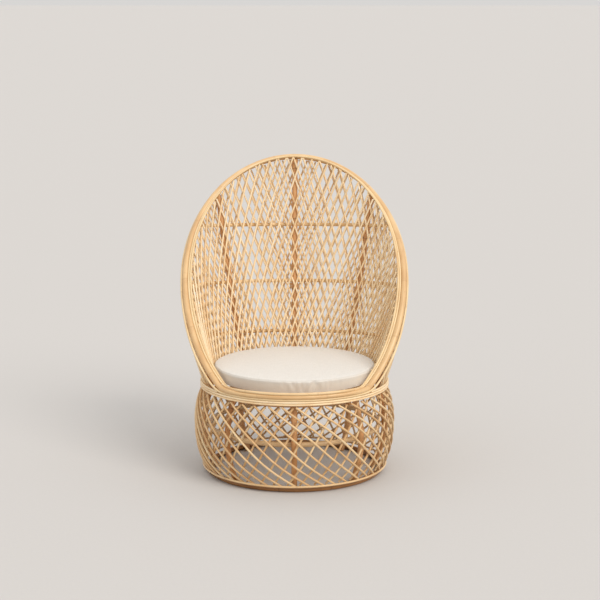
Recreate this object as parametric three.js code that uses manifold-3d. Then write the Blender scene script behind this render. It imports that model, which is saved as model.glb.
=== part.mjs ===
// A peacock chair: an open lattice of rattan canes on bent rattan poles, with a loose round cushion.
// Millimetres, +Z up, and the chair faces -Y. A bearing is an angle in degrees round the upright axis
// of the chair, from the middle of the back towards +X, so the front is at 180. Left is -X, as seen from
// the front.
import * as THREE from 'three';
import { mergeVertices } from 'three/addons/utils/BufferGeometryUtils.js';
import Module from 'manifold-3d';

const wasm = await Module();
wasm.setup();
const { degToRad, radToDeg, lerp } = THREE.MathUtils;

// Gap left between two pieces that lie against each other
const FIT = 0.3;

// Poles and canes, by diameter
const FLOOR_RING_POLE = 20;
const POST_POLE = 22;
const MID_HOOP_POLE = 19;
const SEAT_HOOP_POLE = 20;
const FRONT_RAIL_POLE = 22;
const BEARER_POLE = 18;
const SLAT_CANE = 10;
const BACK_HOOP_POLE = 14;
const RIM_POLE = 22;
const RIM_CANE = 8;
const FLOOR_BINDER_CANE = 8;
const BAND_TOP_CANE = 10;
const BAND_POLE = 14;
const BAND_FINE_CANE = 8;
const BASE_CANE = 8;
const BACK_CANE = 6.5;
// A binder joins the ends of a layer's canes and is thicker than they are by this much on each side
const BASE_BINDER_COVER = 1.8;
const BACK_BINDER_COVER = 0.6;
const BINDER_HEIGHT = 8;

// Base: a barrel between the floor ring and the waist, measured on the outer face of its canes
const BASE_TOP_Z = 318;
const BASE_FOOT_RADIUS = 340;
const BASE_TOP_RADIUS = 344;
const BASE_BELLY = 34;
const MID_HOOP_Z = 175;

// Back: a flared shell, measured on the centre line of its posts, which stands a step in from the base
const SEAT_Z = 350;
const WAIST_STEP = 25.5;
const SEAT_RADIUS = BASE_TOP_RADIUS - WAIST_STEP;
const FLARE = 0.319;
const FLARE_EASE = 0.000106;
const BACK_FOOT_Z = 345;

// Rim: from its top at the middle of the back down to the seat at both sides of the front
const RIM_TOP_Z = 1137;
const RIM_FOOT_Z = 355;
const RIM_REACH = 129;
const RIM_TURN = 168;
const RIM_DIP = 0.055;
const RIM_END_BEARING = 126;
const RIM_POLE_OFFSET = 9;

// Places of the posts and of the hoops between them, these by their share of the way from the seat to the rim
const BACK_POST_BEARING = 38.5;
const SIDE_POST_BEARING = 88;
const FRONT_POST_BEARING = 134.5;
const BACK_HOOPS = { low: 0.14, mid: 0.384, top: 0.661 };
const BACK_HOOP_TILT = 5.5;

// Waist band
const BAND_BOTTOM_Z = 325;
const BAND_FINE_CANES = 3;
// The pole and the thin cane on top of them go round the front only, over this many facets of a ring
const BAND_FRONT_FACETS = 9;

// Lattice: how many canes a layer has and how they lean
const BASE_CANES = 42;
const BASE_INNER_STRIPS = 6;
const BASE_OUTER_SWEEP = 57;
const BASE_INNER_SWEEP = -30;
const BASE_LEVELS = 5;
const BACK_CANES = 56;
const BACK_CROSS_STRIPS = 4;
const BACK_CANES_PER_BEND = 2;
const BACK_PITCH = 4;
const BACK_LEAN = 21;
const BACK_LEVELS = 3;
const SHORTEST_CANE = 60;
const SHORTEST_BEND = 2;
// Room for canes that cut the corner between the levels where they bend
const BASE_POST_ROOM = 2.4;
const BACK_CANE_ROOM = 3.1;

// Seat
const SEAT_HOOP_Z = 316;
const FRONT_RAIL_Z = 340;
const FRONT_RAIL_START = 128;
const BEARER_SPACING = 150;
const SLAT_COUNT = 7;
const SLAT_CLEARANCE = 5;
// The first and the last slat lie at this share of the reach of the longest one
const SLAT_SPREAD = 0.84;
// The cushion lies above the foot of the leaning lattice, so it is wider than the seat by this on each side
const CUSHION_SPREAD = 2;
const CUSHION_HEIGHT = 52;
const CUSHION_CROWN = 5;
const CUSHION_EDGE = 12;
const CUSHION_DRAW = 5;
// Its side leans out with the lattice by this much from the lower seam to the upper one
const CUSHION_LEAN = 10;

// Facets
const RING_SEGMENTS = 32;
const SEAT_HOOP_SEGMENTS = 48;
const CUSHION_SEGMENTS = 32;
const FRONT_RAIL_STEPS = 14;
const BACK_HOOP_STEPS = 4;
const RIM_STEPS = 28;
// Halvings that settle a meeting point to far less than the fit
const HALVINGS = 40;

const chair = new THREE.Group();
const rattanPole = { color: 0xb98049, roughness: 0.55, metalness: 0 };
const rattanRim = { color: 0xe0b878, roughness: 0.45, metalness: 0 };
const rattanCane = { color: 0xe8c68e, roughness: 0.5, metalness: 0 };
const canvas = { color: 0xf0e8dc, roughness: 0.95, metalness: 0 };

function addPiece(name, geometry, finish) {
  const mesh = new THREE.Mesh(geometry, new THREE.MeshStandardMaterial(finish));
  mesh.name = name;
  chair.add(mesh);
  return mesh;
}

// The chair's surfaces

function spoke(bearing) {
  return new THREE.Vector3(Math.sin(degToRad(bearing)), Math.cos(degToRad(bearing)), 0);
}

// A normal of a surface of revolution whose radius grows by slope with height
function faceNormal(bearing, slope) {
  return spoke(bearing).setZ(-slope).normalize();
}

const baseFootZ = FLOOR_RING_POLE + FIT;
const baseHeight = BASE_TOP_Z - baseFootZ;

function baseRadius(z) {
  const u = (z - baseFootZ) / baseHeight;
  return lerp(BASE_FOOT_RADIUS, BASE_TOP_RADIUS, u) + 4 * BASE_BELLY * u * (1 - u);
}

function baseNormal(bearing, z) {
  const u = (z - baseFootZ) / baseHeight;
  const slope = (BASE_TOP_RADIUS - BASE_FOOT_RADIUS + 4 * BASE_BELLY * (1 - 2 * u)) / baseHeight;
  return faceNormal(bearing, slope);
}

function basePoint(bearing, z, offset) {
  const point = spoke(bearing).multiplyScalar(baseRadius(z)).setZ(z);
  return point.addScaledVector(baseNormal(bearing, z), offset);
}

function backRadius(z) {
  const rise = z - SEAT_Z;
  return SEAT_RADIUS + FLARE * rise - FLARE_EASE * rise * rise;
}

function backNormal(bearing, z) {
  return faceNormal(bearing, FLARE - 2 * FLARE_EASE * (z - SEAT_Z));
}

function backPoint(bearing, z, offset) {
  const point = spoke(bearing).multiplyScalar(backRadius(z)).setZ(z);
  return point.addScaledVector(backNormal(bearing, z), offset);
}

function rimHeight(bearing) {
  const u = Math.min(Math.abs(bearing) / RIM_REACH, 1);
  const turn = degToRad(RIM_TURN) * ((1 - RIM_DIP) * u + RIM_DIP * u ** 4);
  const fall = (1 - Math.cos(turn)) / (1 - Math.cos(degToRad(RIM_TURN)));
  return lerp(RIM_TOP_Z, RIM_FOOT_Z, fall);
}

// How far the rim falls for each millimetre that it goes round the chair
function rimFall(bearing) {
  const step = 0.1;
  const round = degToRad(2 * step) * backRadius(rimHeight(bearing));
  return (rimHeight(bearing + step) - rimHeight(bearing - step)) / round;
}

// Height at which a piece of the back stops so that it stays this far below the line of the rim
function underRim(bearing, distance) {
  return rimHeight(bearing) - distance * Math.hypot(1, rimFall(bearing));
}

// Solids

// A path through stations along which a section is swept with one side kept to the surface's normal
class SurfacePath extends THREE.Curve {
  constructor(stations, pointAt, normalAt) {
    super();
    this.stations = stations;
    this.pointAt = pointAt;
    this.normalAt = normalAt;
  }

  station(t) {
    const last = this.stations.length - 1;
    const index = Math.min(Math.floor(t * last), last - 1);
    return lerp(this.stations[index], this.stations[index + 1], t * last - index);
  }

  getPoint(t, target = new THREE.Vector3()) {
    return target.copy(this.pointAt(this.station(t)));
  }

  getSpacedPoints(divisions) {
    return this.getPoints(divisions);
  }

  computeFrenetFrames(segments) {
    const frames = { tangents: [], normals: [], binormals: [] };
    for (let i = 0; i <= segments; i += 1) {
      const tangent = this.getTangent(i / segments);
      const normal = this.normalAt(this.station(i / segments));
      normal.addScaledVector(tangent, -normal.dot(tangent)).normalize();
      frames.tangents.push(tangent);
      frames.normals.push(normal);
      frames.binormals.push(new THREE.Vector3().crossVectors(tangent, normal));
    }
    return frames;
  }
}

function sweep(section, stations, pointAt, normalAt) {
  const extrudePath = new SurfacePath(stations, pointAt, normalAt);
  return new THREE.ExtrudeGeometry(section, { steps: stations.length - 1, extrudePath });
}

function span(start, end, steps) {
  return Array.from({ length: steps + 1 }, (_, i) => lerp(start, end, i / steps));
}

// Corners of a regular polygon, the first one turned from the x axis by an angle in radians
function polygon(reach, sides, turn = 0) {
  const angles = span(turn, turn + 2 * Math.PI, sides).slice(0, sides);
  return angles.map((a) => new THREE.Vector2(Math.cos(a), Math.sin(a)).multiplyScalar(reach));
}

// A round section as a polygon with a corner on the surface's normal
function roundSection(diameter, sides) {
  return new THREE.Shape(polygon(diameter / 2, sides));
}

// The flats of a six-sided pole lie this much nearer to its centre than its corners
const HEXAGON_FLAT = Math.cos(Math.PI / 6);

// A lattice cane is three-sided: its corner points out of the chair (side 1) or into it (side -1)
const CANE_GIRTH = 0.65;

function caneSection(weave, side) {
  return new THREE.Shape(polygon(weave.corner * side, 3));
}

// How far the corner and the flat of a layer's canes, and those of its binder, lie from their centre line
function weaveOf(cane, cover) {
  const corner = cane * CANE_GIRTH;
  const flat = corner / 2;
  return { corner, flat, binderCorner: corner + cover, binderFlat: flat + cover };
}
const baseWeave = weaveOf(BASE_CANE, BASE_BINDER_COVER);
const backWeave = weaveOf(BACK_CANE, BACK_BINDER_COVER);

function binderSection(weave, side) {
  const inner = side > 0 ? -weave.binderFlat : -weave.binderCorner;
  const outer = side > 0 ? weave.binderCorner : weave.binderFlat;
  const half = BINDER_HEIGHT / 2;
  return new THREE.Shape([
    new THREE.Vector2(inner, -half), new THREE.Vector2(outer, -half),
    new THREE.Vector2(outer, half), new THREE.Vector2(inner, half),
  ]);
}

// A closed ring of a section given in radius and height, with the middle of a facet at the front
function ringOf(profile, segments) {
  const ring = new THREE.LatheGeometry([...profile, profile[0]], segments, Math.PI / segments);
  return ring.rotateX(Math.PI / 2);
}

// A round ring; its facets lie inside the circle, or outside it for a ring that goes round other pieces
function roundRing(radius, z, diameter, sides, { outside = false, turn = 0, segments = RING_SEGMENTS } = {}) {
  const place = new THREE.Vector2(outside ? radius / Math.cos(Math.PI / segments) : radius, z);
  const profile = polygon(diameter / 2, sides, turn).map((corner) => corner.add(place));
  return ringOf(profile, segments);
}

function toManifold(geometry) {
  const bare = geometry.clone();
  bare.deleteAttribute('normal');
  bare.deleteAttribute('uv');
  const merged = mergeVertices(bare, 1e-4);
  return new wasm.Manifold(new wasm.Mesh({
    numProp: 3,
    vertProperties: new Float32Array(merged.attributes.position.array),
    triVerts: new Uint32Array(merged.index.array),
  }));
}

// Joins solids into one and cuts it off level at its foot
function fuse(geometries, footZ) {
  const joined = wasm.Manifold.union(geometries.map(toManifold));
  const { vertProperties, triVerts } = joined.trimByPlane([0, 0, 1], footZ).getMesh();
  const geometry = new THREE.BufferGeometry();
  geometry.setAttribute('position', new THREE.BufferAttribute(vertProperties, 3));
  geometry.setIndex(new THREE.BufferAttribute(triVerts, 1));
  geometry.computeVertexNormals();
  return geometry;
}

// Poles and canes run straight from level to level, so that pieces which cross keep their distance
function onLevels(levels, z, pointAt) {
  let i = 0;
  while (i < levels.length - 2 && z > levels[i + 1]) i += 1;
  const part = (z - levels[i]) / (levels[i + 1] - levels[i]);
  return pointAt(levels[i]).lerp(pointAt(levels[i + 1]), part);
}

const baseBinderZ = BASE_TOP_Z - BINDER_HEIGHT / 2;
const baseLevels = span(baseFootZ, baseBinderZ, BASE_LEVELS);
const backLevels = span(BACK_FOOT_Z, RIM_TOP_Z, BACK_LEVELS);

function backLevelsTo(topZ) {
  return [...backLevels.filter((z) => z < topZ - SHORTEST_BEND), topZ];
}

// Posts stand just inside the two layers of base canes, and on the middle of the shell above the waist
const baseOuterOffset = -baseWeave.corner;
const baseInnerOffset = baseOuterOffset - 2 * baseWeave.binderFlat - FIT;
const postOffset = baseInnerOffset - baseWeave.binderCorner - FIT - BASE_POST_ROOM - POST_POLE / 2;
const postFootZ = FIT;
const postStartZ = -2 * POST_POLE;
const postStations = [postStartZ, ...baseLevels.slice(1)];

function postInBase(bearing, z) {
  return onLevels(baseLevels, z, (level) => basePoint(bearing, level, postOffset));
}

function postPoint(bearing, z) {
  if (z < BACK_FOOT_Z) return postInBase(bearing, z);
  return onLevels(backLevels, z, (level) => backPoint(bearing, level, 0));
}

// A post bent through its stations and sawn off level at the floor
function post(bearing, stations, pointAt) {
  const bent = sweep(roundSection(POST_POLE, 6), stations, (z) => pointAt(bearing, z), () => spoke(bearing));
  return fuse([bent], postFootZ);
}

const shellPosts = {
  back_post: 0,
  back_left_post: -BACK_POST_BEARING,
  back_right_post: BACK_POST_BEARING,
  left_side_post: -SIDE_POST_BEARING,
  right_side_post: SIDE_POST_BEARING,
};
const postHalfWidth = POST_POLE / 2 * HEXAGON_FLAT;
for (const [name, bearing] of Object.entries(shellPosts)) {
  const slant = Math.abs(rimFall(bearing)) * (postHalfWidth + FIT);
  const topZ = underRim(bearing, RIM_POLE / 2 * HEXAGON_FLAT + 4 * FIT) - slant;
  addPiece(name, post(bearing, [...postStations, ...backLevelsTo(topZ)], postPoint), rattanPole);
}

// The three front posts go straight up from the base and stop beside the front rail
const frontPosts = {
  front_left_post: -FRONT_POST_BEARING,
  front_right_post: FRONT_POST_BEARING,
  front_post: 180,
};
const baseTop = postInBase(0, baseBinderZ);
const frontPoint = (bearing, z) => {
  if (z <= baseBinderZ) return postInBase(bearing, z);
  return spoke(bearing).multiplyScalar(baseTop.y).setZ(z);
};
for (const [name, bearing] of Object.entries(frontPosts)) {
  addPiece(name, post(bearing, [...postStations, FRONT_RAIL_Z], frontPoint), rattanPole);
}

// Distance of the posts' centre line from the chair's axis at a height in the base
function postRadiusAt(height) {
  const line = [...postStations.map((z) => postInBase(0, z)), backPoint(0, BACK_FOOT_Z, 0)];
  const next = line.findIndex((point) => point.z >= height);
  const part = (height - line[next - 1].z) / (line[next].z - line[next - 1].z);
  return lerp(line[next - 1].y, line[next].y, part);
}

// Floor ring: an eight-sided pole with a flat side down, laid round the leaning feet of the posts
const floorRingCorner = FLOOR_RING_POLE / 2 / Math.cos(Math.PI / 8);
const footLean = (postRadiusAt(FLOOR_RING_POLE) - postRadiusAt(0)) / FLOOR_RING_POLE;
const floorRingReach = (POST_POLE / 2 + FIT + floorRingCorner) * Math.hypot(1, footLean);
const floorRingRadius = postRadiusAt(FLOOR_RING_POLE / 2) + floorRingReach;

const floorRingShape = { outside: true, turn: Math.PI / 8 };
addPiece(
  'floor_ring',
  roundRing(floorRingRadius, FLOOR_RING_POLE / 2, 2 * floorRingCorner, 8, floorRingShape),
  rattanPole,
);

// Hoops inside the posts
const midHoopRadius = postRadiusAt(MID_HOOP_Z) - POST_POLE / 2 - FIT - MID_HOOP_POLE / 2;
addPiece('mid_hoop', roundRing(midHoopRadius, MID_HOOP_Z, MID_HOOP_POLE, 6), rattanRim);
// The seat hoop has a corner up, under the bearers, and a flat side to the posts
const seatHoopRadius = baseTop.y - POST_POLE / 2 - FIT - SEAT_HOOP_POLE / 2 * HEXAGON_FLAT;
const seatHoopShape = { turn: Math.PI / 6, segments: SEAT_HOOP_SEGMENTS };
addPiece('seat_hoop', roundRing(seatHoopRadius, SEAT_HOOP_Z, SEAT_HOOP_POLE, 6, seatHoopShape), rattanPole);

// Front rail: a bent pole outside the front posts, between the two feet of the rim
const frontRailRadius = baseTop.y + POST_POLE / 2 + FIT + FRONT_RAIL_POLE / 2;
addPiece('front_rail', sweep(
  roundSection(FRONT_RAIL_POLE, 6),
  span(FRONT_RAIL_START, 360 - FRONT_RAIL_START, FRONT_RAIL_STEPS),
  (bearing) => spoke(bearing).multiplyScalar(frontRailRadius).setZ(FRONT_RAIL_Z),
  spoke,
), rattanRim);

// Seat bearers lie across the seat hoop, and the slats across the bearers
const bearerZ = SEAT_HOOP_Z + SEAT_HOOP_POLE / 2 + FIT + BEARER_POLE / 2;
const bearers = {
  seat_bearer_left: -BEARER_SPACING,
  seat_bearer_middle: 0,
  seat_bearer_right: BEARER_SPACING,
};
for (const [name, x] of Object.entries(bearers)) {
  const length = 2 * Math.sqrt(seatHoopRadius ** 2 - x ** 2);
  const geometry = new THREE.CylinderGeometry(BEARER_POLE / 2, BEARER_POLE / 2, length, 8);
  addPiece(name, geometry, rattanPole).position.set(x, 0, bearerZ);
}

const backPairDistance = 2 * backWeave.binderFlat + FIT;
const crossOffset = -(POST_POLE / 2 + FIT + backWeave.binderCorner);
const inmostOffset = crossOffset - backPairDistance;
const slatZ = bearerZ + BEARER_POLE / 2 + FIT + SLAT_CANE / 2;
const latticeInnerRadius = backPoint(0, BACK_FOOT_Z, inmostOffset - backWeave.binderCorner).y;
const slatReach = latticeInnerRadius - SLAT_CLEARANCE;
span(-SLAT_SPREAD * slatReach, SLAT_SPREAD * slatReach, SLAT_COUNT - 1).forEach((y, i) => {
  const length = 2 * Math.sqrt(slatReach ** 2 - (Math.abs(y) + SLAT_CANE / 2) ** 2);
  const geometry = new THREE.CylinderGeometry(SLAT_CANE / 2, SLAT_CANE / 2, length, 6).rotateZ(Math.PI / 2);
  addPiece(`seat_slat_${i + 1}`, geometry, rattanCane).position.set(0, y, slatZ);
});

// Base canes: the outer layer falls to the right at the front, the inner layer to the left
const basePitch = 360 / BASE_CANES;
const baseCaneEndZ = baseBinderZ - BASE_CANE / 4;
const baseCaneStations = [baseFootZ - BASE_CANE, ...baseLevels.slice(1, BASE_LEVELS), baseCaneEndZ];

function baseCane(topBearing, sweepAngle, offset, side) {
  const bearingAt = (z) => topBearing - sweepAngle * (baseBinderZ - z) / baseHeight;
  return sweep(
    caneSection(baseWeave, side),
    baseCaneStations,
    (z) => onLevels(baseLevels, z, (level) => basePoint(bearingAt(level), level, offset)),
    (z) => baseNormal(bearingAt(z), z),
  );
}

function baseOuterBinder() {
  const place = basePoint(0, baseBinderZ, baseOuterOffset);
  const normal = baseNormal(0, baseBinderZ);
  const radius = place.y / Math.cos(degToRad(basePitch / 2));
  const points = binderSection(baseWeave, 1).getPoints().map((p) => new THREE.Vector2(
    radius + p.x * normal.y - p.y * normal.z,
    place.z + p.x * normal.z + p.y * normal.y,
  ));
  return ringOf(points, BASE_CANES);
}

const outerBaseCanes = [];
for (let i = 0; i < BASE_CANES; i += 1) {
  outerBaseCanes.push(baseCane(i * basePitch, BASE_OUTER_SWEEP, baseOuterOffset, 1));
}
addPiece('base_outer_canes', fuse([baseOuterBinder(), ...outerBaseCanes], baseFootZ), rattanCane);

// The bends of a binder lie between its canes, just outside the circle on which the canes stand
function binderBends(bearings, pitch, canesPerBend, gap) {
  const last = bearings.length - 1;
  const ends = bearings.slice(0, last).filter((_, i) => (i + 1) % canesPerBend === 0);
  const between = ends.map((bearing) => bearing + pitch / 2);
  return [bearings[0] - pitch / 2 + gap, ...between, bearings[last] + pitch / 2 - gap];
}

function outsideCircle(point, bend) {
  const stretch = 1 / Math.cos(degToRad(bend / 2));
  return point.multiply(new THREE.Vector3(stretch, stretch, 1));
}

const stripCanes = BASE_CANES / BASE_INNER_STRIPS;
for (let strip = 0; strip < BASE_INNER_STRIPS; strip += 1) {
  const bearings = Array.from({ length: stripCanes }, (_, i) => (strip * stripCanes + i) * basePitch);
  const binder = sweep(
    binderSection(baseWeave, -1),
    binderBends(bearings, basePitch, 1, radToDeg(FIT / BASE_TOP_RADIUS)),
    (bearing) => outsideCircle(basePoint(bearing, baseBinderZ, baseInnerOffset), basePitch),
    (bearing) => baseNormal(bearing, baseBinderZ),
  );
  const canes = bearings.map((bearing) => baseCane(bearing, BASE_INNER_SWEEP, baseInnerOffset, -1));
  addPiece(`base_inner_canes_${strip + 1}`, fuse([binder, ...canes], baseFootZ), rattanCane);
}

// Floor binder: a thin cane round the feet of the base canes
const floorBinderZ = baseFootZ + FLOOR_BINDER_CANE / 2 + FIT;
const outerSweepAt = (z) => BASE_OUTER_SWEEP * (z - baseFootZ) / baseHeight;
const outerCaneFace = onLevels(baseLevels, floorBinderZ, (level) => basePoint(outerSweepAt(level), level, 0));
const floorBinderRadius = Math.hypot(outerCaneFace.x, outerCaneFace.y) + FIT + FLOOR_BINDER_CANE / 2;
const aroundOthers = { outside: true };
addPiece(
  'floor_binder',
  roundRing(floorBinderRadius, floorBinderZ, FLOOR_BINDER_CANE, 4, aroundOthers),
  rattanCane,
);

// Back canes: an inner pair of layers and an outer pair, each cane leaning evenly from the seat to the rim
function backDrift(z) {
  const foot = backRadius(BACK_FOOT_Z);
  const here = backRadius(z);
  const meanRadius = here === foot ? foot : (here - foot) / Math.log(here / foot);
  return radToDeg(Math.tan(degToRad(BACK_LEAN)) * (z - BACK_FOOT_Z) / meanRadius);
}

const caneRoom = RIM_POLE / 2 + FIT + backWeave.flat;

// Height where a cane meets the rim, by halving the stretch that holds the meeting point
function caneTop(footBearing, lean) {
  let low = BACK_FOOT_Z;
  let high = RIM_TOP_Z;
  for (let i = 0; i < HALVINGS; i += 1) {
    const z = (low + high) / 2;
    if (z < underRim(footBearing + lean * backDrift(z), caneRoom)) low = z;
    else high = z;
  }
  return low;
}

function backCane(footBearing, lean, offset, side, topZ) {
  const bearingAt = (z) => footBearing + lean * backDrift(z);
  return sweep(
    caneSection(backWeave, side),
    backLevelsTo(topZ),
    (z) => onLevels(backLevels, z, (level) => backPoint(bearingAt(level), level, offset)),
    (z) => backNormal(bearingAt(z), z),
  );
}

function backLayer(name, footBearings, lean, offset, side) {
  const binder = sweep(
    binderSection(backWeave, side),
    binderBends(footBearings, BACK_PITCH, BACK_CANES_PER_BEND, radToDeg(FIT / SEAT_RADIUS)),
    (bearing) => outsideCircle(backPoint(bearing, BACK_FOOT_Z, offset), BACK_PITCH * BACK_CANES_PER_BEND),
    (bearing) => backNormal(bearing, BACK_FOOT_Z),
  );
  const canes = [];
  for (const bearing of footBearings) {
    const topZ = caneTop(bearing, lean);
    if (topZ > BACK_FOOT_Z + SHORTEST_CANE) canes.push(backCane(bearing, lean, offset, side, topZ));
  }
  addPiece(name, fuse([binder, ...canes], BACK_FOOT_Z - BINDER_HEIGHT), rattanCane);
}

const backFeet = Array.from({ length: BACK_CANES }, (_, i) => (i - (BACK_CANES - 1) / 2) * BACK_PITCH);
const outerCrossOffset = POST_POLE / 2 + FIT + BACK_CANE_ROOM + backWeave.binderCorner;
const outmostOffset = outerCrossOffset + backPairDistance;
backLayer('back_inner_canes', backFeet, 1, inmostOffset, -1);
const crossCanes = BACK_CANES / BACK_CROSS_STRIPS;
for (let strip = 0; strip < BACK_CROSS_STRIPS; strip += 1) {
  const feet = backFeet.slice(strip * crossCanes, (strip + 1) * crossCanes);
  backLayer(`back_cross_canes_${strip + 1}`, feet, -1, crossOffset, 1);
}
backLayer('back_outer_cross_canes', backFeet, -1, outerCrossOffset, -1);
backLayer('back_outer_canes', backFeet, 1, outmostOffset, 1);

// Back hoops: short bent poles from post to post, or from the outer post to the rim, rising to the front
function hoopHeight(bearing, middleZ) {
  const forward = backRadius(middleZ) * (1 - Math.cos(degToRad(bearing)));
  return middleZ + Math.tan(degToRad(BACK_HOOP_TILT)) * forward;
}

function hoopPiece(start, end, middleZ) {
  return sweep(
    roundSection(BACK_HOOP_POLE, 4),
    span(start, end, BACK_HOOP_STEPS),
    (bearing) => backPoint(bearing, hoopHeight(bearing, middleZ), 0),
    (bearing) => backNormal(bearing, hoopHeight(bearing, middleZ)),
  );
}

// Bearing at which a hoop of this height stops at the rim, unless the side post comes first
function hoopEnd(middleZ, postWidth) {
  let low = BACK_POST_BEARING;
  let high = SIDE_POST_BEARING - postWidth;
  const room = RIM_POLE / 2 + FIT + BACK_HOOP_POLE / 2;
  for (let i = 0; i < HALVINGS; i += 1) {
    const bearing = (low + high) / 2;
    if (hoopHeight(bearing, middleZ) < underRim(bearing, room)) low = bearing;
    else high = bearing;
  }
  return low;
}

for (const [level, share] of Object.entries(BACK_HOOPS)) {
  const middleZ = lerp(SEAT_Z, RIM_TOP_Z, share);
  const postWidth = radToDeg((postHalfWidth + 2 * FIT) / backRadius(middleZ));
  const inner = [postWidth, BACK_POST_BEARING - postWidth];
  const outer = [BACK_POST_BEARING + postWidth, hoopEnd(middleZ, postWidth)];
  addPiece(`${level}_hoop_left`, hoopPiece(-inner[1], -inner[0], middleZ), rattanPole);
  addPiece(`${level}_hoop_right`, hoopPiece(inner[0], inner[1], middleZ), rattanPole);
  addPiece(`${level}_hoop_far_left`, hoopPiece(-outer[1], -outer[0], middleZ), rattanPole);
  addPiece(`${level}_hoop_far_right`, hoopPiece(outer[0], outer[1], middleZ), rattanPole);
}

// Rim: a thick pole with thin canes beside it, side by side across the top edge of the shell
const rimCaneStep = RIM_CANE + FIT;
const rimOuterOffset = RIM_POLE_OFFSET + RIM_POLE / 2 + FIT + RIM_CANE / 2;
const rimInnerOffset = RIM_POLE_OFFSET - RIM_POLE / 2 - FIT - RIM_CANE / 2;

function rimPiece(diameter, sides, offset) {
  return sweep(
    roundSection(diameter, sides),
    span(-RIM_END_BEARING, RIM_END_BEARING, RIM_STEPS),
    (bearing) => backPoint(bearing, rimHeight(bearing), offset),
    (bearing) => backNormal(bearing, rimHeight(bearing)),
  );
}
addPiece('rim_pole', rimPiece(RIM_POLE, 6, RIM_POLE_OFFSET), rattanRim);
addPiece('rim_outer_cane', rimPiece(RIM_CANE, 4, rimOuterOffset), rattanCane);
addPiece('rim_inner_cane_1', rimPiece(RIM_CANE, 4, rimInnerOffset), rattanCane);
addPiece('rim_inner_cane_2', rimPiece(RIM_CANE, 4, rimInnerOffset - rimCaneStep), rattanCane);

// Waist band: three fine canes laid one on the other round the lattice and the front rail
const frontRailFace = frontRailRadius + FRONT_RAIL_POLE / 2;

// Outer face of the back's lattice at a height, on the straight stretch of its outmost canes
function latticeFace(height) {
  const reach = outmostOffset + backWeave.corner;
  const z = height + FLARE * reach;
  const point = onLevels(backLevels, z, (level) => backPoint(backDrift(level), level, reach));
  return Math.hypot(point.x, point.y) + FLARE * (height - point.z);
}

const fineStep = BAND_FINE_CANE + FIT;
const fineTopZ = BAND_BOTTOM_Z + (BAND_FINE_CANES - 0.5) * fineStep;
const fineRadius = Math.max(frontRailFace, latticeFace(fineTopZ)) + FIT + BAND_FINE_CANE / 2;
for (let i = 0; i < BAND_FINE_CANES; i += 1) {
  const z = BAND_BOTTOM_Z + BAND_FINE_CANE / 2 + i * fineStep;
  addPiece(`band_fine_cane_${i + 1}`, roundRing(fineRadius, z, BAND_FINE_CANE, 4, aroundOthers), rattanCane);
}

// Across the front a pole and a thin cane lie on the fine canes, between the two feet of the rim
const bandFacet = 360 / RING_SEGMENTS;
const bandFrontReach = BAND_FRONT_FACETS / 2 * bandFacet;
const bandCornerRadius = fineRadius / Math.cos(degToRad(bandFacet / 2));

function frontBand(diameter, z) {
  return sweep(
    roundSection(diameter, 4),
    span(180 - bandFrontReach, 180 + bandFrontReach, BAND_FRONT_FACETS),
    (bearing) => spoke(bearing).multiplyScalar(bandCornerRadius).setZ(z),
    spoke,
  );
}
const bandPoleZ = BAND_BOTTOM_Z + BAND_FINE_CANES * fineStep + BAND_POLE / 2;
addPiece('band_pole', frontBand(BAND_POLE, bandPoleZ), rattanCane);
const bandTopZ = bandPoleZ + BAND_POLE / 2 + FIT + BAND_TOP_CANE / 2;
addPiece('band_top_cane', frontBand(BAND_TOP_CANE, bandTopZ), rattanCane);

// Cushion: a round boxed cushion with a crowned top and drawn-in seams, loose on the slats
const cushionRadius = latticeInnerRadius + CUSHION_SPREAD;

function cushionOutline() {
  const bottom = slatZ + SLAT_CANE / 2 + FIT;
  const top = bottom + CUSHION_HEIGHT;
  const middle = (bottom + top) / 2;
  const lowSeam = cushionRadius - CUSHION_DRAW;
  const highSeam = lowSeam + CUSHION_LEAN;
  const bulge = (lowSeam + highSeam) / 2 + 2 * CUSHION_DRAW;
  const outline = new THREE.Path();
  outline.moveTo(0, bottom);
  outline.lineTo(lowSeam - CUSHION_EDGE, bottom);
  outline.quadraticCurveTo(lowSeam, bottom, lowSeam, bottom + CUSHION_EDGE / 2);
  outline.quadraticCurveTo(bulge, middle, highSeam, top - CUSHION_EDGE / 2);
  outline.quadraticCurveTo(highSeam, top, highSeam - CUSHION_EDGE, top);
  outline.quadraticCurveTo(highSeam / 2, top + CUSHION_CROWN, 0, top + CUSHION_CROWN);
  return outline.getPoints(3);
}
addPiece('cushion', new THREE.LatheGeometry(cushionOutline(), CUSHION_SEGMENTS).rotateX(Math.PI / 2), canvas);

// The origin is on the floor, below the middle of the whole chair
const box = new THREE.Box3().setFromObject(chair);
const middle = box.getCenter(new THREE.Vector3());
chair.position.set(-middle.x, -middle.y, -box.min.z);

export default chair;
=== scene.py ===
# A peacock chair: bent rattan poles, a lattice of thin canes and a loose round canvas cushion.
# Metres, +Z up, and the chair faces -Y. A bearing is an angle in degrees round the chair's upright axis,
# from the middle of the back towards +X, so the front is at 180.
import math

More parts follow.
